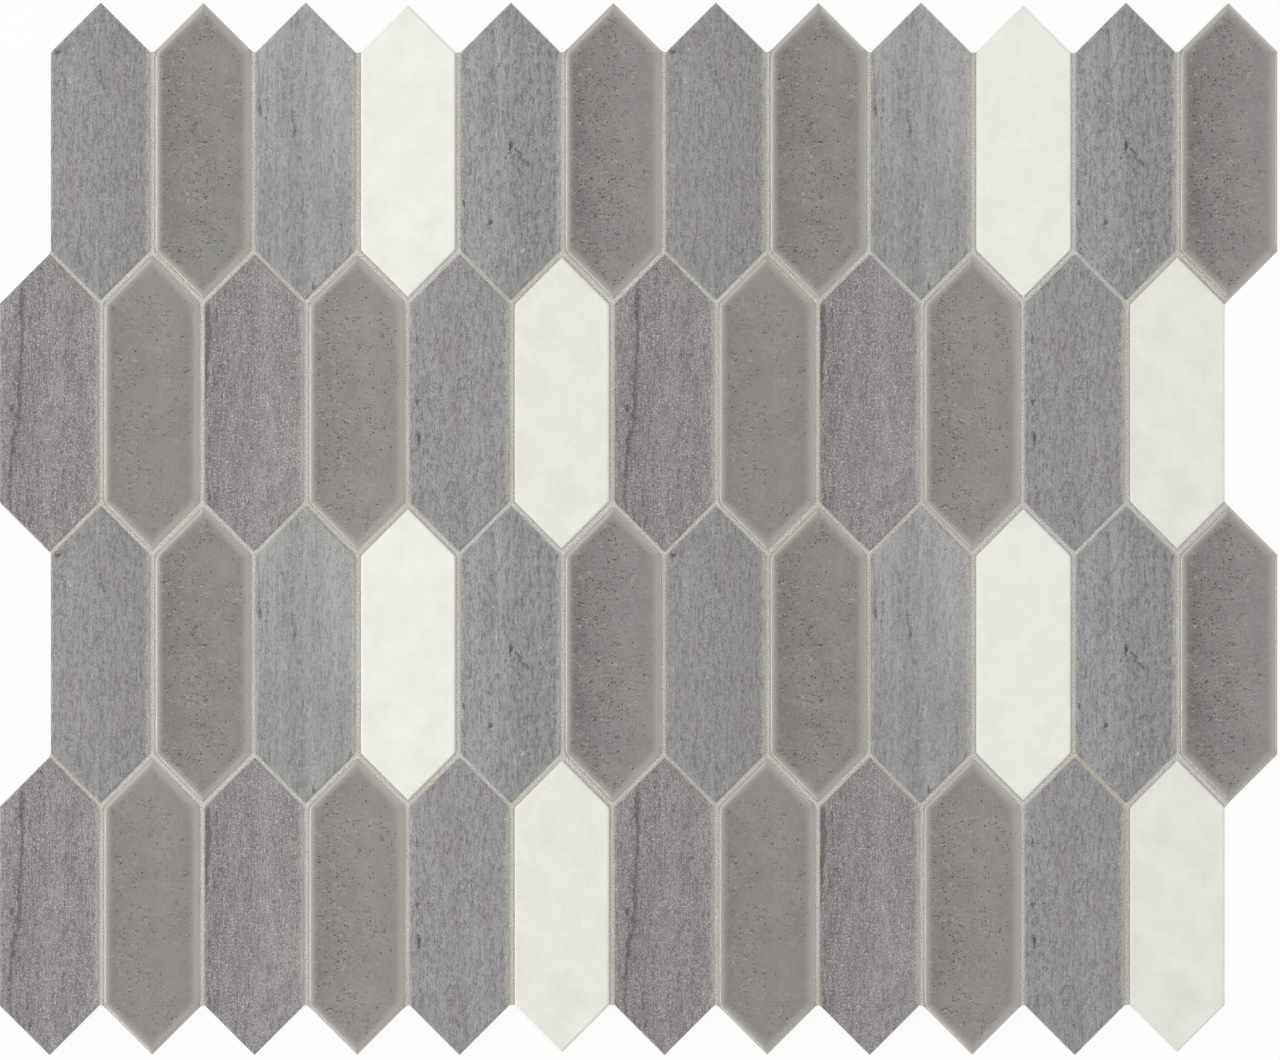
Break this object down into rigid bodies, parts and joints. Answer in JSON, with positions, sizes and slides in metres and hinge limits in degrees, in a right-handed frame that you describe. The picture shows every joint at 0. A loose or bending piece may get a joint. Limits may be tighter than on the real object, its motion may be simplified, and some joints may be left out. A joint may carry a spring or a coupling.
{
  "type": "picket mosaic tile sheet",
  "caption": "Sheet of elongated hexagonal picket tiles in grey stone, glazed grey and white ceramic, in staggered rows with recessed sanded grout and a glass-fibre mesh backing.",
  "frame": {"origin": "under the middle of the sheet, on the plane of the mesh's underside", "axes": "+X along the rows of pickets, +Y along the pickets' length, +Z out of the tiled face"},
  "size_m": [0.3166, 0.2608, 0.0085],
  "materials": {
    "stone": "honed",
    "grey_glaze": "satin glaze",
    "white_glaze": "satin glaze",
    "grout": "sanded cement",
    "glass_fibre": "woven"
  },
  "bodies": {
    "root": {"glazed_picket_r1_c02": "grey_glaze", "glazed_picket_r1_c06": "grey_glaze", "glazed_picket_r1_c08": "grey_glaze", "glazed_picket_r1_c12": "grey_glaze", "glazed_picket_r2_c02": "grey_glaze", "glazed_picket_r2_c04": "grey_glaze", "glazed_picket_r2_c08": "grey_glaze", "glazed_picket_r2_c10": "grey_glaze", "glazed_picket_r3_c02": "grey_glaze", "glazed_picket_r3_c06": "grey_glaze", "glazed_picket_r3_c08": "grey_glaze", "glazed_picket_r3_c12": "grey_glaze", "glazed_picket_r4_c02": "grey_glaze", "glazed_picket_r4_c04": "grey_glaze", "glazed_picket_r4_c08": "grey_glaze", "glazed_picket_r4_c10": "grey_glaze", "grout": "grout", "stone_picket_r1_c01": "stone", "stone_picket_r1_c03": "stone", "stone_picket_r1_c05": "stone", "stone_picket_r1_c07": "stone", "stone_picket_r1_c09": "stone", "stone_picket_r1_c11": "stone", "stone_picket_r2_c01": "stone", "stone_picket_r2_c03": "stone", "stone_picket_r2_c05": "stone", "stone_picket_r2_c07": "stone", "stone_picket_r2_c09": "stone", "stone_picket_r2_c11": "stone", "stone_picket_r3_c01": "stone", "stone_picket_r3_c03": "stone", "stone_picket_r3_c05": "stone", "stone_picket_r3_c07": "stone", "stone_picket_r3_c09": "stone", "stone_picket_r3_c11": "stone", "stone_picket_r4_c01": "stone", "stone_picket_r4_c03": "stone", "stone_picket_r4_c05": "stone", "stone_picket_r4_c07": "stone", "stone_picket_r4_c09": "stone", "stone_picket_r4_c11": "stone", "warp_threads": "glass_fibre", "weft_threads": "glass_fibre", "white_picket_r1_c04": "white_glaze", "white_picket_r1_c10": "white_glaze", "white_picket_r2_c06": "white_glaze", "white_picket_r2_c12": "white_glaze", "white_picket_r3_c04": "white_glaze", "white_picket_r3_c10": "white_glaze", "white_picket_r4_c06": "white_glaze", "white_picket_r4_c12": "white_glaze"}
  },
  "joints": []
}
